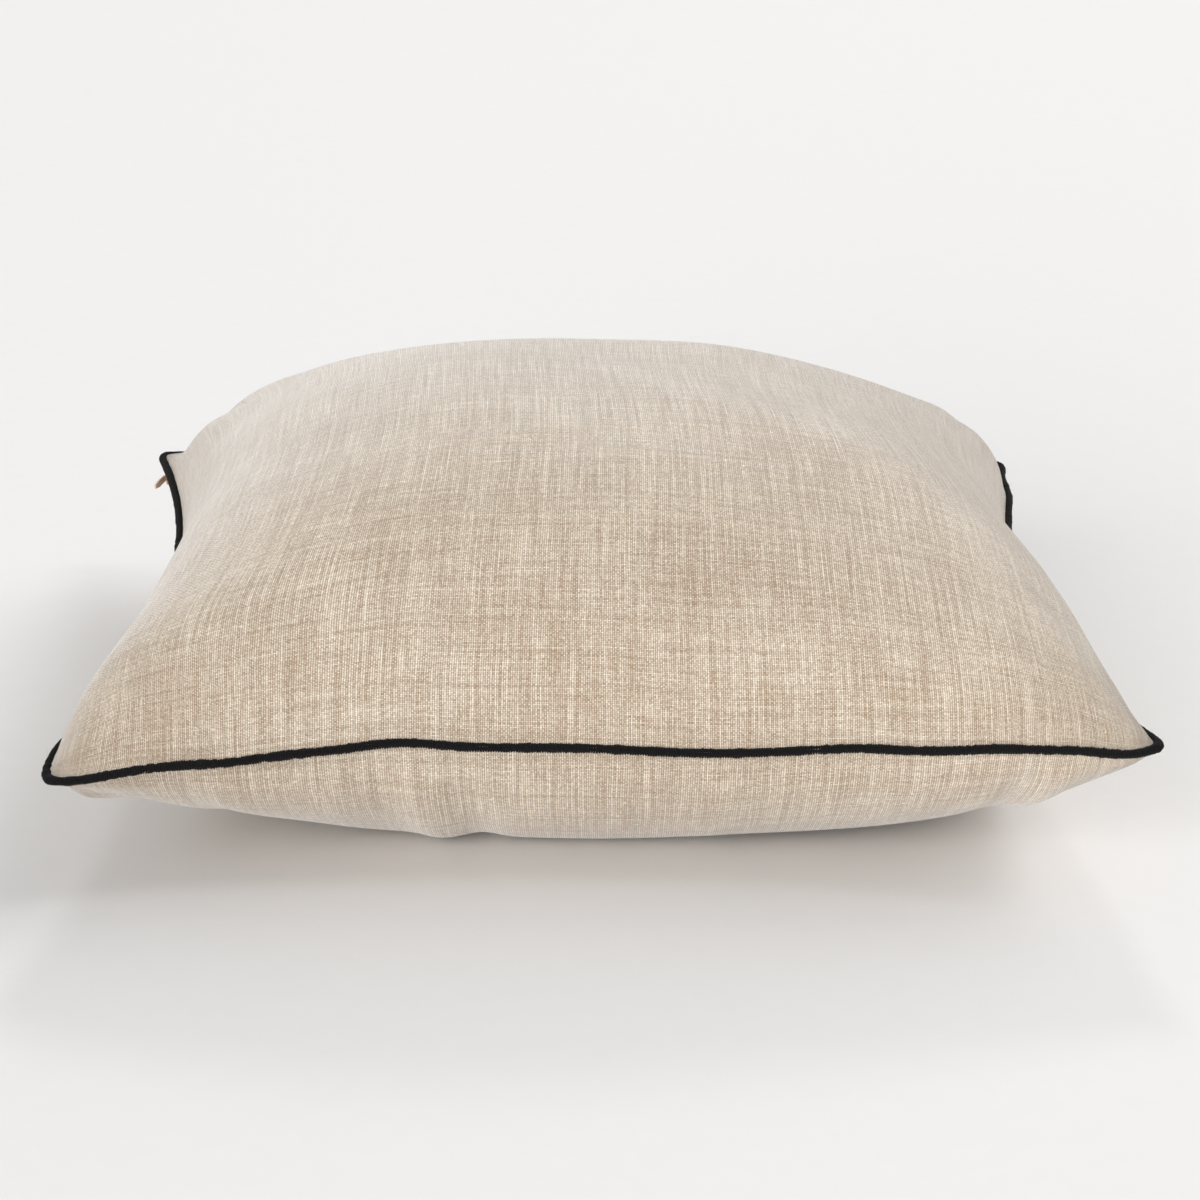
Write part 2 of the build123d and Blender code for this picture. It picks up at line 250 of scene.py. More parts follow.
def top_shape(u, v):
    """Top panel: the seam sheet lifted by the cloth and the swelling, a little lower to the back and
    right. A flank bulges out by t * t * (1 - t), brought to 1 at its peak, t from 0 inside to 1."""
    p = seam_sheet(u, v)
    p[..., 2] += CLOTH
    lift = swelling(u, v, FULLNESS)
    su, sv = 2 * u - 1, 2 * v - 1
    p[..., 2] += CROWN * lift * (1 + LEAN * sv - TILT * np.tanh(2.2 * su))
    for side, middle, spread, out in FLANKS:
        t = np.clip((side * su - 0.3) / 0.7, 0, 1)
        p[..., 0] += side * out * 6.75 * t * t * (1 - t) * np.exp(-(((sv - middle) / spread) ** 2))
    return p


def zip_share(v):
    """1 along the zip and 0 at the corners, with a smooth step that starts at the zip's ends."""
    s = np.clip((ZIP_HALF + ZIP_STEP / 2 - np.abs(2 * v - 1) * HALF_Y) / ZIP_STEP + 0.5, 0, 1)
    return s * s * (3 - 2 * s)


def plain_bottom(u, v):
    """The bottom panel without its folded edge: low heights z turn to half of z + root(z * z +
    softness * softness), which is never below the floor."""
    p = seam_sheet(u, v)
    p[..., 2] -= CLOTH + BELLY * swelling(u, v, BELLY_FULLNESS, BELLY_PINCH)
    z = p[..., 2]
    p[..., 2] = np.where(z < FLOOR_TURN, 0.5 * (z + np.sqrt(z * z + FLOOR_SOFT**2)), z)
    return p


def bottom_shape(u, v):
    """Bottom panel: the seam sheet dropped by the swelling and laid on the floor; its left edge is
    folded under the zip, level to clear the slider and then fading."""
    fold = zip_share(v) * np.clip((FOLD_LEVEL + FOLD_FADE - u * 2 * HALF_X) / FOLD_FADE, 0, 1) ** 2
    p = plain_bottom(u, v)
    p[..., 2] -= ZIP_DROP * fold
    p[..., 0] += FOLD_IN * fold
    return p


# ---------------------------------------------------------------- meshes

def new_mesh(name, points, quads, uv=None):
    """Object from a list of points and quads, smooth shaded, with an optional UV for each point."""
    mesh = bpy.data.meshes.new(name)
    mesh.vertices.add(len(points))
    mesh.vertices.foreach_set("co", np.asarray(points, np.float32).ravel())
    quads = np.asarray(quads, np.int32)
    mesh.loops.add(quads.size)
    mesh.loops.foreach_set("vertex_index", quads.ravel())
    mesh.polygons.add(len(quads))
    mesh.polygons.foreach_set("loop_start", np.arange(len(quads), dtype=np.int32) * 4)
    mesh.polygons.foreach_set("use_smooth", np.ones(len(quads), bool))
    mesh.update(calc_edges=True)
    if uv is not None:
        layer = mesh.uv_layers.new(name="UVMap")
        layer.data.foreach_set("uv", np.asarray(uv, np.float32)[quads.ravel()].ravel())
    mesh.validate()
    piece = bpy.data.objects.new(name, mesh)
    bpy.context.scene.collection.objects.link(piece)
    return piece


def grid_quads(rows, columns, wrap=False, flip=False):
    """Quads over a grid of points; wrap joins the last column to the first."""
    i = np.arange(rows - 1)[:, None]
    j = np.arange(columns if wrap else columns - 1)[None, :]
    k = (j + 1) % columns
    a, b, c, d = i * columns + j, (i + 1) * columns + j, (i + 1) * columns + k, i * columns + k
    quads = np.stack([a, b, c, d], -1).reshape(-1, 4)
    return quads[:, ::-1] if flip else quads


def grid_normals(points):
    """Upward normals of a grid: the cross product of its two slopes."""
    return unit(np.cross(np.gradient(points, axis=0), np.gradient(points, axis=1)))


def unit(a):
    return a / np.maximum(np.linalg.norm(a, axis=-1, keepdims=True), 1e-12)


def tube_points(path, outward, radius, sides):
    """Rings round a path: radius * (cos a * N + sin a * B), N the outward hint squared to the path."""
    tangent = unit(np.gradient(path, axis=0))
    normal = unit(outward - (outward * tangent).sum(-1, keepdims=True) * tangent)
    binormal = np.cross(tangent, normal)
    a = 2 * np.pi * np.arange(sides) / sides
    radius = np.broadcast_to(radius, len(path))[:, None, None]
    ring = np.cos(a)[None, :, None] * normal[:, None] + np.sin(a)[None, :, None] * binormal[:, None]
    return path[:, None] + radius * ring


def tube_quads(rows, sides):
    """Quads over a tube's rings, with end caps as fans of quads about its first and last rings."""
    k = np.arange(sides // 2 - 1)
    last = (rows - 1) * sides
    cap = np.stack([k, k + 1, sides - 2 - k, sides - 1 - k], -1)
    return np.vstack([grid_quads(rows, sides, wrap=True, flip=True), cap[:, ::-1], last + cap])


def join_parts(name, parts):
    """One object from several (points, quads, uv) parts."""
    points, quads, uvs, base = [], [], [], 0
    for p, q, t in parts:
        points.append(p.reshape(-1, 3))
        quads.append(q + base)
        uvs.append(t.reshape(-1, 2))
        base += len(points[-1])
    return new_mesh(name, np.vstack(points), np.vstack(quads), np.vstack(uvs))


def tube_part(path, outward, radius, sides):
    """A closed tube as one part, UV along the path in metres and once round."""
    rings = tube_points(path, outward, radius, sides)
    rows = len(path)
    quads = tube_quads(rows, sides)
    along = np.concatenate([[0], np.cumsum(np.linalg.norm(np.diff(path, axis=0), axis=1))])
    uv = np.stack(np.broadcast_arrays(along[:, None], np.arange(sides)[None] / sides), -1)
    return rings, quads, uv


# ---------------------------------------------------------------- node materials

class Nodes:
    """Short names for making a node material."""

    def __init__(self, name):
        self.material = bpy.data.materials.new(name)
        self.material.use_nodes = True
        self.tree = self.material.node_tree
        self.tree.nodes.clear()
        self.output = self.add("ShaderNodeOutputMaterial")
        self.shader = self.add("ShaderNodeBsdfPrincipled")
        self.link(self.shader.outputs[0], self.output.inputs[0])

    def add(self, kind, **settings):
        node = self.tree.nodes.new(kind)
        for key, value in settings.items():
            setattr(node, key, value)
        return node

    def link(self, source, target):
        self.tree.links.new(source, target)

    def put(self, socket, value):
        if isinstance(value, bpy.types.NodeSocket):
            self.link(value, socket)
        else:
            socket.default_value = value

    def math(self, operation, a, b=0.0, c=0.0):
        node = self.add("ShaderNodeMath", operation=operation)
        for socket, value in zip(node.inputs, (a, b, c)):
            self.put(socket, value)
        return node.outputs[0]

    def coords(self, kind="Object"):
        return self.add("ShaderNodeTexCoord").outputs[kind]

    def stretch(self, vector, scale):
        node = self.add("ShaderNodeMapping")
        self.put(node.inputs["Vector"], vector)
        node.inputs["Scale"].default_value = scale
        return node.outputs[0]

    def noise(self, vector, scale, detail=2.0, roughness=0.5):
        node = self.add("ShaderNodeTexNoise")
        self.put(node.inputs["Vector"], vector)
        node.inputs["Scale"].default_value = scale
        node.inputs["Detail"].default_value = detail
        node.inputs["Roughness"].default_value = roughness
        return node.outputs["Fac"]

    def joined(self, x, y, z):
        node = self.add("ShaderNodeCombineXYZ")
        for socket, value in zip(node.inputs, (x, y, z)):
            self.put(socket, value)
        return node.outputs[0]

    def ramp(self, value, low, high):
        """Value from low..high brought to 0..1."""
        node = self.add("ShaderNodeMapRange", clamp=True)
        self.put(node.inputs["Value"], value)
        node.inputs["From Min"].default_value = low
        node.inputs["From Max"].default_value = high
        return node.outputs[0]

    def mix(self, share, a, b):
        node = self.add("ShaderNodeMix", data_type="RGBA")
        self.put(node.inputs["Factor"], share)
        self.put(node.inputs[6], a)
        self.put(node.inputs[7], b)
        return node.outputs[2]

    def layered(self, total, layers):
        """The total with each (value, weight) layer added to it."""
        for value, weight in layers:
            total = self.math("ADD", total, self.math("MULTIPLY", value, weight))
        return total

    def bump(self, height, distance, strength):
        node = self.add("ShaderNodeBump")
        self.put(node.inputs["Height"], height)
        node.inputs["Distance"].default_value = distance
        node.inputs["Strength"].default_value = strength
        self.link(node.outputs[0], self.shader.inputs["Normal"])

    def set(self, **values):
        for key, value in values.items():
            self.put(self.shader.inputs[key.replace("_", " ")], value)


def linen_material(name, dark, light, pitch):
    """Plain weave on UV metres: each crossing's height is the larger of the warp's and the weft's
    arched profiles, which swap from crossing to crossing; threads differ in tone, with slubs."""
    n = Nodes(name)
    uv = n.coords("UV")
    wander = n.add("ShaderNodeVectorMath", operation="ADD")
    drift = n.add("ShaderNodeTexNoise")
    n.put(drift.inputs["Vector"], uv)
    drift.inputs["Scale"].default_value = 45.0
    offset = n.add("ShaderNodeVectorMath", operation="SCALE")
    n.link(drift.outputs["Color"], offset.inputs[0])
    offset.inputs["Scale"].default_value = pitch * 0.9
    n.link(uv, wander.inputs[0])
    n.link(offset.outputs[0], wander.inputs[1])
    split = n.add("ShaderNodeSeparateXYZ")
    n.link(wander.outputs[0], split.inputs[0])
    x = n.math("DIVIDE", split.outputs[0], pitch)
    y = n.math("DIVIDE", split.outputs[1], pitch * 0.92)
    arch_x = n.math("ABSOLUTE", n.math("SINE", n.math("MULTIPLY", x, math.pi)))
    arch_y = n.math("ABSOLUTE", n.math("SINE", n.math("MULTIPLY", y, math.pi)))
    column, row = n.math("FLOOR", x), n.math("FLOOR", y)
    over = n.math("MODULO", n.math("ABSOLUTE", n.math("ADD", column, row)), 2.0)
    under = n.math("SUBTRACT", 1.0, over)
    warp = n.math("MULTIPLY", arch_x, n.math("ADD", n.math("MULTIPLY", over, 0.35), 0.65))
    weft = n.math("MULTIPLY", arch_y, n.math("ADD", n.math("MULTIPLY", under, 0.55), 0.30))
    weave = n.math("MAXIMUM", warp, weft)
    warp_place = n.joined(n.math("MULTIPLY", column, 5.3), n.math("MULTIPLY", y, 0.014), 0.0)
    weft_place = n.joined(n.math("MULTIPLY", x, 0.02), n.math("MULTIPLY", row, 5.3), 7.3)
    warp_tone = n.noise(warp_place, 1.0, 1.0, 0.6)
    weft_tone = n.noise(weft_place, 1.0, 1.0, 0.6)
    crossing = n.add("ShaderNodeTexWhiteNoise", noise_dimensions="3D")
    n.link(n.joined(column, row, 1.7), crossing.inputs["Vector"])
    uneven = crossing.outputs["Value"]
    grain = n.noise(n.stretch(uv, (1.0, 0.8, 1.0)), 1500.0, 1.0, 0.6)
    mottle = n.noise(uv, 26.0, 3.0, 0.55)
    cloud = n.noise(uv, 7.0, 2.0, 0.5)
    slub = n.ramp(n.noise(n.stretch(uv, (1150.0, 30.0, 1.0)), 1.0, 0.0), 0.74, 0.86)
    cross_slub = n.ramp(n.noise(n.stretch(uv, (36.0, 1000.0, 1.0)), 1.0, 0.0), 0.76, 0.88)
    nub = n.ramp(n.noise(uv, 330.0, 0.0), 0.80, 0.86)
    threads = n.math("MULTIPLY_ADD", warp_tone, 0.64, n.math("MULTIPLY", weft_tone, 0.40))
    tone = n.layered(threads, (
        (grain, 0.38), (uneven, 0.26), (mottle, 0.20), (cloud, 0.15),
        (weave, 0.90), (slub, 0.32), (cross_slub, 0.20), (nub, 0.30)))
    share = n.ramp(tone, 1.36, 2.08)
    n.set(Base_Color=n.mix(share, dark, light), Roughness=0.92)
    n.set(Sheen_Weight=0.85, Sheen_Roughness=0.40, Specular_IOR_Level=0.2)
    height = n.layered(weave, ((slub, 0.8), (cross_slub, 0.6), (uneven, 0.3), (grain, 0.4), (nub, 1.2)))
    n.bump(height, 0.00028, 0.9)
    return n.material


def yarn_material(name, dark, light):
    """Matte spun yarn: fine plies twisted along UV, soft fuzz, paler flecks as painted glints on fibres."""
    n = Nodes(name)
    uv = n.coords("UV")
    split = n.add("ShaderNodeSeparateXYZ")
    n.link(uv, split.inputs[0])
    round_yarn = n.math("MULTIPLY", split.outputs[1], 3.0)
    twist = n.math("ADD", n.math("MULTIPLY", split.outputs[0], 900.0), round_yarn)
    ply = n.math("ABSOLUTE", n.math("SINE", n.math("MULTIPLY", twist, math.pi)))
    fuzz = n.noise(n.coords(), 2600.0, 3.0, 0.7)
    # Paler flecks: painted highlights, glints of light on single fibres, not the yarn's own colour
    glint_flecks = n.ramp(n.noise(n.coords(), 900.0, 2.0), 0.62, 0.78)
    share = n.math("MULTIPLY", glint_flecks, n.math("ADD", n.math("MULTIPLY", fuzz, 0.7), 0.2))
    n.set(Base_Color=n.mix(share, dark, light), Roughness=0.88, Specular_IOR_Level=0.18)
    n.set(Sheen_Weight=0.05, Sheen_Roughness=0.5)
    n.bump(n.math("ADD", ply, n.math("MULTIPLY", fuzz, 0.9)), 0.00022, 0.9)
    return n.material


def tape_material(name, dark, light):
    """Herringbone zip tape: slanted fine ribs on UV metres, turning at each half of its width."""
    n = Nodes(name)
    split = n.add("ShaderNodeSeparateXYZ")
    n.link(n.coords("UV"), split.inputs[0])
    fold = n.math("PINGPONG", split.outputs[1], 0.003)
    rib_pitch = 0.0009
    slanted = n.math("ADD", split.outputs[0], fold)
    ribs = n.math("SINE", n.math("MULTIPLY", slanted, 2 * math.pi / rib_pitch))
    ribs = n.math("MULTIPLY_ADD", ribs, 0.5, 0.5)
    grain = n.noise(n.coords(), 1500.0, 2.0)
    share = n.math("ADD", n.math("MULTIPLY", ribs, 0.6), n.math("MULTIPLY", grain, 0.4))
    n.set(Base_Color=n.mix(share, dark, light), Roughness=0.85, Specular_IOR_Level=0.25)
    n.bump(share, 0.00012, 0.7)
    return n.material


def enamel_material(name, dark, light, metallic):
    """Satin enamel on die-cast metal: faint casting grain and slightly worn, brighter high spots."""
    n = Nodes(name)
    grain = n.noise(n.coords(), 1800.0, 3.0)
    wear = n.ramp(n.noise(n.coords(), 420.0, 4.0, 0.65), 0.5, 0.75)
    rough = n.math("MULTIPLY_ADD", grain, 0.18, 0.30)
    n.set(Base_Color=n.mix(wear, dark, light), Roughness=rough, Metallic=metallic)
    n.bump(grain, 0.00004, 0.5)
    return n.material


def nylon_material(name, dark, light):
    """Satin nylon filament with faint drawn lines."""
    n = Nodes(name)
    lines = n.noise(n.stretch(n.coords("UV"), (300.0, 9.0, 1.0)), 1.0, 2.0)
    n.set(Base_Color=n.mix(lines, dark, light), Roughness=0.42, Specular_IOR_Level=0.45)
    n.bump(lines, 0.00003, 0.6)
    return n.material


def wadding_material(name, dark, light):
    """Carded fibre: soft tangled strands from stretched noise."""
    n = Nodes(name)
    strands = n.noise(n.stretch(n.coords(), (1.0, 3.5, 1.0)), 180.0, 6.0, 0.75)
    n.set(Base_Color=n.mix(strands, dark, light), Roughness=0.95, Sheen_Weight=0.3)
    n.bump(strands, 0.003, 0.8)
    return n.material


def floor_material():
    """Pale painted studio floor with the faintest roller texture."""
    n = Nodes("studio_floor")
    grain = n.noise(n.coords(), 60.0, 3.0)
    n.set(Base_Color=n.mix(grain, (0.81, 0.803, 0.80, 1), (0.83, 0.823, 0.82, 1)), Roughness=0.75)
    n.set(Specular_IOR_Level=0.2)
    return n.material


LINEN = linen_material("natural_linen", (0.325, 0.225, 0.14, 1), (0.93, 0.85, 0.725, 1), THREAD)
# Second colour: painted glints on the black yarn's fibres
BLACK_YARN = yarn_material("black_overcast_yarn", (0.0045, 0.004, 0.0042, 1), (0.040, 0.030, 0.026, 1))
TAN_TAPE = tape_material("tan_zip_tape", (0.36, 0.26, 0.18, 1), (0.56, 0.44, 0.33, 1))
TAN_NYLON = nylon_material("tan_nylon_coil", (0.42, 0.31, 0.22, 1), (0.60, 0.46, 0.34, 1))
TAN_METAL = enamel_material("tan_enamelled_metal", (0.50, 0.33, 0.22, 1), (0.66, 0.47, 0.34, 1), 0.2)
PULL_ENAMEL = enamel_material("pull_enamel", (0.70, 0.52, 0.39, 1), (0.80, 0.64, 0.52, 1), 0.0)
# Second colour: painted glints on the thread's fibres
TAN_THREAD = yarn_material("tan_sewing_thread", (0.42, 0.33, 0.24, 1), (0.66, 0.55, 0.43, 1))
COTTON = linen_material("casing_cotton", (0.62, 0.61, 0.58, 1), (0.86, 0.85, 0.82, 1), 0.0005)
WADDING = wadding_material("fibre_filling", (0.72, 0.71, 0.69, 1), (0.92, 0.91, 0.89, 1))


# ---------------------------------------------------------------- cover panels

def cloth_lengths(shape, count=400):
    """Length along the cloth from the seam, measured over the middle of the panel, for u and for v."""
    t = np.linspace(0, 1, count)
    half = np.full(count, 0.5)
    across = np.cumsum(np.linalg.norm(np.diff(shape(t, half), axis=0), axis=1))
    along = np.cumsum(np.linalg.norm(np.diff(shape(half, t), axis=0), axis=1))
    return t, np.concatenate([[0], across]), np.concatenate([[0], along])


def panel_grid(shape, count=GRID):
    """A panel's points and their places on the flat cut cloth, both over the same grid."""
    steps = grid_steps(count)
    u, v = np.meshgrid(steps, steps, indexing="ij")
    t, across, along = cloth_lengths(shape)
    flat = np.stack([np.interp(u, t, across), np.interp(v, t, along)], -1)
    return shape(u, v), flat, u, v


def soft_modifiers(piece, thickness):
    """One subdivision, then the cloth's own thickness, inwards."""
    smooth = piece.modifiers.new("smooth", "SUBSURF")
    smooth.levels = smooth.render_levels = 1
    wall = piece.modifiers.new("cloth", "SOLIDIFY")
    wall.thickness = thickness
    wall.offset = -1


def stuff_cover():
    """Both panels sewn into one closed bag and blown up by a short cloth simulation. The cloth's rest
    lengths are those of the flat cut pieces, so that it puckers beside the seam and in the ears. A
    point's travel d from the worked-out shape is held to CAP * tanh(d / CAP)."""
    top, flat_top, u, v = panel_grid(top_shape)
    low, flat_low, _, _ = panel_grid(bottom_shape)
    inside = np.zeros((GRID, GRID), bool)
    inside[1:-1, 1:-1] = True
    number = np.arange(GRID * GRID).reshape(GRID, GRID)
    lower = number.copy()
    lower[inside] = GRID * GRID + np.arange(inside.sum())
    start = top.copy()
    start[~inside] = (top[~inside] + low[~inside]) / 2
    bag = np.vstack([start.reshape(-1, 3), low[inside]])
    quads = np.vstack([grid_quads(GRID, GRID), lower.ravel()[grid_quads(GRID, GRID, flip=True)]])
    cut = np.vstack([flat_top.reshape(-1, 2), flat_low[inside]])
    cut = np.column_stack([cut * EASE, np.zeros(len(cut))])
    piece = new_mesh("cover_bag", bag, quads)
    piece.shape_key_add(name="sewn")
    key = piece.shape_key_add(name="cut")
    key.data.foreach_set("co", cut.astype(np.float32).ravel())
    held = np.zeros((GRID, GRID), bool)
    held[:3], held[-3:], held[:, :3], held[:, -3:] = True, True, True, True
    resting = low[..., 2] < 0.001
    fixed = np.concatenate([held.ravel(), (held | resting)[inside]])
    group = piece.vertex_groups.new(name="margin")
    group.add(np.nonzero(fixed)[0].tolist(), 1.0, "REPLACE")
    cloth = piece.modifiers.new("stuffing", "CLOTH")
    c = cloth.settings
    c.vertex_group_mass = "margin"
    c.rest_shape_key = key
    c.quality = 6
    c.mass = 0.3
    c.tension_stiffness = c.compression_stiffness = 18.0
    c.shear_stiffness = 6.0
    c.bending_stiffness = 0.12
    c.tension_damping = c.compression_damping = 12.0
    c.air_damping = 4.0
    c.use_pressure = True
    c.uniform_pressure_force = PRESSURE
    c.effector_weights.gravity = 0.0
    cloth.collision_settings.use_collision = False
    scene = bpy.context.scene
    cloth.point_cache.frame_start, cloth.point_cache.frame_end = 1, FRAMES
    for frame_number in range(1, FRAMES + 1):
        scene.frame_set(frame_number)
    posed = piece.evaluated_get(bpy.context.evaluated_depsgraph_get())
    moved = np.empty(len(bag) * 3, np.float32)
    posed.data.vertices.foreach_get("co", moved)
    scene.frame_set(1)
    travel = moved.reshape(-1, 3) - bag
    size = np.linalg.norm(travel, axis=1, keepdims=True)
    print("cloth moved: mean %.4f, most %.4f" % (size.mean(), size.max()))
    edge = np.minimum(np.minimum(u, 1 - u), np.minimum(v, 1 - v)) * 2 * HALF_X
    near = np.clip((edge - FLANGE) / CAP_CLEAR, 0.001, 1)
    cap = CAP * np.concatenate([near.ravel(), near[inside]])[:, None]
    travel *= cap * np.tanh(size / cap) / np.maximum(size, 1e-9)
    outward = np.concatenate([grid_normals(top).reshape(-1, 3), -grid_normals(low)[inside]])
    lift = (travel * outward).sum(1, keepdims=True)
    travel += outward * (np.maximum(lift, -SINK * np.tanh(np.abs(lift) / SINK)) - lift)
    bpy.data.objects.remove(piece)
    count = GRID * GRID
    top = top + travel[:count].reshape(GRID, GRID, 3) * inside[..., None]
    low[inside] += travel[count:]
    return top, low, flat_top, flat_low, u, v


def lumps(u, v):
    """Soft lumps of the stuffing: a few long sine waves in slanting directions, added."""
    total = np.zeros_like(u)
    for turn, wave, phase in LUMPS:
        along = u * math.cos(turn) + v * math.sin(turn)
        total += np.sin(wave * 2 * np.pi * along / 2 + phase) / wave
    return total


def fold_cloth(points, u, v, panel, up):
    """Each fold moves the cloth along its normal by height * exp(-(along / length)^4 - (across /
    width)^2); the margin inside the edging stays flat."""
    normals = grid_normals(points) * up
    edge = np.minimum(np.minimum(u, 1 - u), np.minimum(v, 1 - v)) * 2 * HALF_X
    free = np.clip((edge - FLANGE) / FOLD_CLEAR, 0, 1)
    lift = LUMP_HEIGHT * lumps(u, v) * np.clip((edge - FLANGE) / LUMP_CLEAR, 0, 1)
    for where, fu, fv, turn, length, width, height in FOLDS:
        if where == panel:
            x, y = (u - fu) * FOLD_SPAN, (v - fv) * FOLD_SPAN
            c, k = math.cos(math.radians(turn)), math.sin(math.radians(turn))
            along, across = x * c + y * k, y * c - x * k
            lift = lift + height * np.exp(-((along / length) ** 4) - (across / width) ** 2)
    return points + normals * (lift * free)[..., None]


def cover_panel(name, points, flat, flip):
    """One linen panel with its flat cut place as UV."""
    piece = new_mesh(name, points.reshape(-1, 3), grid_quads(GRID, GRID, flip=flip), flat.reshape(-1, 2))
    piece.data.materials.append(LINEN)
    soft_modifiers(piece, CLOTH)
    return piece


def finish_piece(piece, body, slot, *nodes):
    """The body that a piece rides on and the nodes that it stands for; its material slot is not used."""
    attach(piece, body)
    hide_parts(*nodes)


top_points, low_points, top_flat, low_flat, cloth_u, cloth_v = stuff_cover()
top_points = fold_cloth(top_points, cloth_u, cloth_v, "top", 1)
low_points = fold_cloth(low_points, cloth_u, cloth_v, "bottom", -1)
low_points[..., 2] = np.maximum(low_points[..., 2], 0.0004)
top_panel = cover_panel("top_panel", top_points, top_flat, False)
finish_piece(top_panel, "cushion", "linen", "cover_top_panel")
bottom_panel = cover_panel("bottom_panel", low_points, low_flat, True)
finish_piece(bottom_panel, "cushion", "linen", "cover_bottom_panel")


# ---------------------------------------------------------------- overcast edging

def edge_path(side, count=1600):
    """The cut edge along one side: its points, evenly spaced, and the level direction inwards."""
    t = np.linspace(0, 1, 4000)
    zero, one = np.zeros_like(t), np.ones_like(t)
    u, v = {"front": (t, zero), "right": (one, t), "back": (1 - t, one), "left": (zero, 1 - t)}[side]
    p = seam_sheet(u, v)
    length = np.concatenate([[0], np.cumsum(np.linalg.norm(np.diff(p, axis=0), axis=1))])
    even = np.linspace(0, length[-1], count)
    p = np.stack([np.interp(even, length, p[:, k]) for k in range(3)], -1)
    tangent = unit(np.gradient(p, axis=0))
    inward = unit(np.cross([0.0, 0.0, 1.0], tangent))
    return p, inward, length[-1]


def at(values, places):
    """Rows of an evenly spaced array read between its points, places from 0 to 1."""
    t = np.linspace(0, 1, len(values))
    return np.stack([np.interp(places, t, values[:, k]) for k in range(values.shape[1])], -1)


def wander(t, cycles, seed):
    """Smooth random curve from -1 to 1: a sum of sines with random phases."""
    draw = np.random.default_rng(seed)
    total = np.zeros_like(t)
    for k in range(1, 7):
        total += np.sin(2 * np.pi * (t * cycles * k / 3 + draw.random())) / k
    return total / 2


def overcast(side, seed):
    """Yarn wound round the cut edge: a flattened helix about the edge, one turn to each stitch, over
    a plain core."""
    p, inward, length = edge_path(side)
    turns = int(round(length / WRAP_PITCH))
    steps = turns * YARN_STEPS
    t = np.linspace(0, 1, steps + 1)
    draw = np.random.default_rng(seed)
    each = draw.normal(0, 1, turns + 2)
    stitch = np.interp(t * turns, np.arange(turns + 2), each)
    phase = 2 * np.pi * turns * t + 0.35 * wander(t, 160, seed + 1)
    wide = BAND_WIDE * (1 + 0.05 * stitch + 0.07 * wander(t, 40, seed + 2))
    high = BAND_HIGH * (1 + 0.05 * stitch + 0.07 * wander(t, 37, seed + 3))
    here, side_in = at(p, t), unit(at(inward, t))
    up = np.array([0.0, 0.0, 1.0])
    middle = here + side_in * (BAND_IN + 0.0002 * wander(t, 30, seed + 4))[:, None]
    spoke = side_in * (wide * np.cos(phase))[:, None] + up * (high * np.sin(phase))[:, None]
    slant = unit(np.gradient(here, axis=0)) * (0.0004 * np.sin(phase))[:, None]
    path = middle + spoke + slant
    radius = YARN * (1 + 0.10 * stitch)
    parts = [tube_part(path, unit(spoke), radius, YARN_SIDES)]
    core_t = np.linspace(0, 1, CORE_STEPS)
    centre = at(middle, core_t)
    core_in = unit(at(inward, core_t))
    a = 2 * np.pi * np.arange(CORE_SIDES) / CORE_SIDES
    ring_in = core_in[:, None] * (BAND_WIDE * np.cos(a))[None, :, None]
    core = centre[:, None] + (ring_in + up * (BAND_HIGH * np.sin(a))[None, :, None])
    parts.append((core, tube_quads(CORE_STEPS, CORE_SIDES), np.zeros((CORE_STEPS, CORE_SIDES, 2))))
    parts.append(stray_fibres(middle, side_in, draw, HAIRS))
    piece = join_parts("edging_yarn_" + side, parts)
    piece.data.materials.append(BLACK_YARN)
    return piece


def stray_fibres(middle, side_in, draw, count):
    """Short fine hairs that stand off the yarn, each a bent line with a square section: the root plus
    reach * (away * t + along * t * t)."""
    pick = draw.integers(50, len(middle) - 50, count)
    angle = draw.uniform(-0.4 * np.pi, 1.4 * np.pi, count)
    away = -side_in[pick] * np.cos(angle)[:, None] + np.array([0, 0, 1.0]) * np.sin(angle)[:, None]
    along = unit(middle[pick + 5] - middle[pick - 5]) * draw.normal(0, 1, count)[:, None]
    root = middle[pick] + away * 0.0022
    reach = draw.uniform(0.0012, 0.0032, count)[:, None]
    t = np.linspace(0, 1, HAIR_STEPS)[None, :, None]
    lines = root[:, None] + (away[:, None] * t + along[:, None] * t**2) * reach[:, None]
    across = unit(np.cross(away, along))
    up = unit(np.cross(away, across))
    a = 2 * np.pi * np.arange(HAIR_SIDES) / HAIR_SIDES
    ring_across = across[:, None, None] * np.cos(a)[None, None, :, None]
    ring = ring_across + up[:, None, None] * np.sin(a)[None, None, :, None]
    thin = HAIR * (1 - 0.8 * t)[..., None]
    points = lines[:, :, None] + ring * thin
    quads = tube_quads(HAIR_STEPS, HAIR_SIDES)
    size = HAIR_STEPS * HAIR_SIDES
    every = (quads[None] + size * np.arange(count)[:, None, None]).reshape(-1, 4)
    return points, every, np.zeros((count * size, 2))


for number, side_name in enumerate(("front", "right", "back", "left")):
    yarn = overcast(side_name, 20 + 10 * number)
    finish_piece(yarn, "cushion", "edging_yarn", "edging_" + side_name)


# ---------------------------------------------------------------- zip

def beside_zip(angle, radius, height):
    """Points at a radius from the left seam's centre, moved with the ears."""
    x = SIDE_CENTRE + radius * np.cos(angle)
    y = radius * np.sin(angle)
    return ear_pull(np.stack(np.broadcast_arrays(x, y, height), -1))


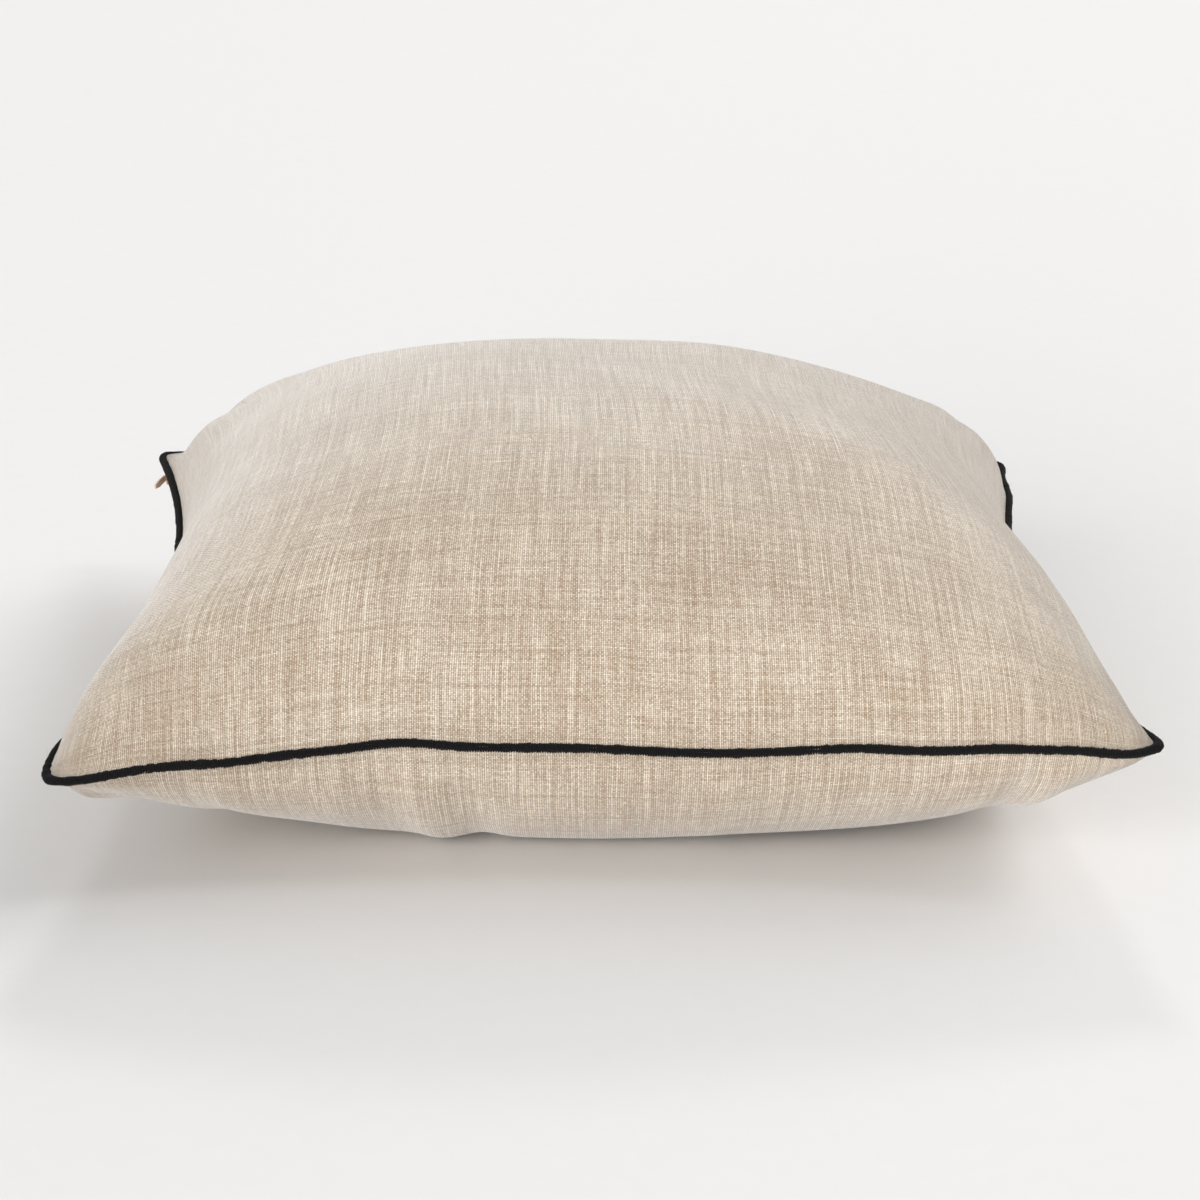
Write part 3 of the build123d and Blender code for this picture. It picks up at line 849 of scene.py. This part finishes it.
def tape(name, profile):
    """A zip tape: a section of (inwards, up) points carried along the seam."""
    angle = np.linspace(-ZIP_HALF, ZIP_HALF, TAPE_STEPS)[:, None] / SIDE_RADIUS
    section = np.array(profile)
    points = beside_zip(angle, SIDE_RADIUS + section[None, :, 0], SEAM_Z + section[None, :, 1])
    sides = len(profile)
    along = np.broadcast_to(angle * SIDE_RADIUS, (TAPE_STEPS, sides))
    girth = np.concatenate([[0], np.cumsum(np.linalg.norm(np.diff(section, axis=0), axis=1))])
    uv = np.stack([along, np.broadcast_to(girth, (TAPE_STEPS, sides))], -1)
    piece = join_parts(name, [(points, tube_quads(TAPE_STEPS, sides)[:, ::-1], uv)])
    piece.data.materials.append(TAN_TAPE)
    return piece


def coil(name, upper):
    """One nylon coil: an oval helix, one turn to each tooth."""
    sign = 1 if upper else -1
    start, end = -ZIP_HALF + STOP_ROOM, ZIP_HALF - STOP_ROOM
    turns = int((end - start) / COIL_PITCH)
    t = np.linspace(0, 1, turns * COIL_STEPS + 1)
    phase = 2 * np.pi * turns * t
    angle = (start + (end - start) * t) / SIDE_RADIUS
    radius = SIDE_RADIUS + TAPE_FACE - COIL_OUT
    middle = SEAM_Z + CHAIN + sign * COIL_DROP
    path = beside_zip(angle, radius + COIL_WIDE * np.cos(phase), middle + sign * COIL_HIGH * np.sin(phase))
    centre = beside_zip(angle, radius, np.full_like(angle, middle))
    piece = join_parts(name, [tube_part(path, unit(path - centre), COIL_WIRE, 6)])
    piece.data.materials.append(TAN_NYLON)
    return piece


TAPE_BACK = TAPE_FACE + TAPE
upper_tape = tape("zip_tape_upper_cloth", (
    (TAPE_EDGE, TAPE_TOP - TAPE),
    (TAPE_FACE, TAPE_TOP - TAPE),
    (TAPE_FACE, CHAIN + CHAIN_SLOT),
    (TAPE_BACK, CHAIN + CHAIN_SLOT),
    (TAPE_BACK, TAPE_TOP),
    (TAPE_EDGE, TAPE_TOP),
))
finish_piece(upper_tape, "cushion", "zip_tape", "zip_tape_upper")
lower_tape = tape("zip_tape_lower_cloth", (
    (TAPE_FACE, CHAIN - CHAIN_SLOT),
    (TAPE_FACE, TAPE_TURN),
    (TAPE_IN, TAPE_TURN),
    (TAPE_IN, TAPE_TURN + TAPE),
    (TAPE_BACK, TAPE_TURN + TAPE),
    (TAPE_BACK, CHAIN - CHAIN_SLOT),
))
finish_piece(lower_tape, "cushion", "zip_tape", "zip_tape_lower")
for upper, node in ((True, "zip_coil_upper"), (False, "zip_coil_lower")):
    row = coil(node + "_filament", upper)
    finish_piece(row, "cushion", "zip_coil", node)


# ---------------------------------------------------------------- insert

def inset(shape, depth):
    """A panel's shape moved inwards: closer to the seam's middle by depth at the sides and in height."""
    def inner(u, v):
        p = shape(u, v)
        p[..., 0] *= 1 - depth / HALF_X
        p[..., 1] *= 1 - depth / HALF_Y
        p[..., 2] = SEAM_Z + (p[..., 2] - SEAM_Z) * (1 - depth / INSET_HEIGHT)
        return p
    return inner


def casing_panel(name, shape, flip, node):
    """One panel of the insert's cotton casing."""
    points, flat, _, _ = panel_grid(inset(shape, CASING_INSET), INSERT_GRID)
    quads = grid_quads(INSERT_GRID, INSERT_GRID, flip=flip)
    piece = new_mesh(name, points.reshape(-1, 3), quads, flat.reshape(-1, 2))
    piece.data.materials.append(COTTON)
    soft_modifiers(piece, CASING_CLOTH)
    finish_piece(piece, "cushion", "casing", node)


def filling():
    """One closed body: an upper and a lower grid that share their outer row of points."""
    count = INSERT_GRID
    top = panel_grid(inset(top_shape, FILLING_INSET), count)[0]
    low = panel_grid(inset(plain_bottom, FILLING_INSET), count)[0]
    rim = (top[..., 2] + low[..., 2]) / 2
    edge = np.zeros((count, count), bool)
    edge[0], edge[-1], edge[:, 0], edge[:, -1] = True, True, True, True
    top[..., 2] = np.where(edge, rim, top[..., 2])
    number = np.arange(count * count).reshape(count, count)
    lower = np.where(edge, number, count * count + number)
    quads_top = grid_quads(count, count)
    quads_low = lower.ravel()[grid_quads(count, count, flip=True)]
    points = np.vstack([top.reshape(-1, 3), low.reshape(-1, 3)])
    used = np.unique(np.concatenate([quads_top.ravel(), quads_low.ravel()]))
    renumber = np.zeros(len(points), int)
    renumber[used] = np.arange(len(used))
    piece = new_mesh("fibre_filling_body", points[used], renumber[np.vstack([quads_top, quads_low])])
    piece.data.materials.append(WADDING)
    finish_piece(piece, "cushion", "filling", "insert_filling")


casing_panel("casing_top_cloth", top_shape, False, "insert_casing_top")
casing_panel("casing_bottom_cloth", plain_bottom, True, "insert_casing_bottom")
filling()

# CAD nodes that are kept as they are, with their own finishes
for node, material in (("zip_slider", TAN_METAL), ("zip_pull_tab", PULL_ENAMEL), ("zip_top_stops", TAN_METAL),
                       ("zip_bottom_stop", TAN_METAL), ("zip_stitching", TAN_THREAD)):
    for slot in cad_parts[node].material_slots:
        slot.material = material


# ---------------------------------------------------------------- stage

def studio():
    """Pale floor, soft windows to the right and behind, a front fill and an even surround."""
    floor = new_mesh("studio_floor", [(-40, -40, 0), (40, -40, 0), (40, 40, 0), (-40, 40, 0)], [(0, 1, 2, 3)])
    floor.data.materials.append(floor_material())
    lamps = (
        ("right_window", (1.0, -0.05, 1.2), 0.40, 0.30),
        ("back_window", (0.09, 1.0, 0.60), 0.50, 0.13),
        ("back_glow", (1.0, 0.75, 0.45), 2.15, 1.20),
        ("low_window", (-0.35, -1.0, 0.05), 0.80, 0.45),
        ("front_window", (-0.72, -1.0, 0.30), 2.35, 0.90),
    )
    for name, towards, power, spread in lamps:
        lamp = bpy.data.lights.new(name, "SUN")
        lamp.energy = power
        lamp.angle = spread
        piece = bpy.data.objects.new(name, lamp)
        piece.rotation_euler = Vector(towards).to_track_quat("Z", "Y").to_euler()
        bpy.context.scene.collection.objects.link(piece)
    world = bpy.data.worlds.new("studio")
    world.use_nodes = True
    background = world.node_tree.nodes["Background"]
    background.inputs["Color"].default_value = (1.0, 0.995, 0.99, 1)
    background.inputs["Strength"].default_value = 0.44
    bpy.context.scene.world = world
    bpy.context.scene.view_settings.view_transform = "Standard"


def camera():
    """A long lens, low over the front edge, a touch to the left."""
    azimuth, elevation, roll = map(math.radians, (-1.046, 18.70, 0.293))
    back = Vector((
        math.sin(azimuth) * math.cos(elevation),
        -math.cos(azimuth) * math.cos(elevation),
        math.sin(elevation)))
    lens = bpy.data.cameras.new("studio_camera")
    lens.lens = 99.23
    lens.sensor_width = 36.0
    piece = bpy.data.objects.new("studio_camera", lens)
    piece.rotation_mode = "QUATERNION"
    turn = (-back).to_track_quat("-Z", "Y")
    piece.rotation_quaternion = (turn.to_matrix() @ Matrix.Rotation(roll, 3, "Z")).to_quaternion()
    piece.location = Vector((0.00115, 0, 0.07144)) + back * 1.924
    bpy.context.scene.collection.objects.link(piece)
    bpy.context.scene.camera = piece


studio()
camera()
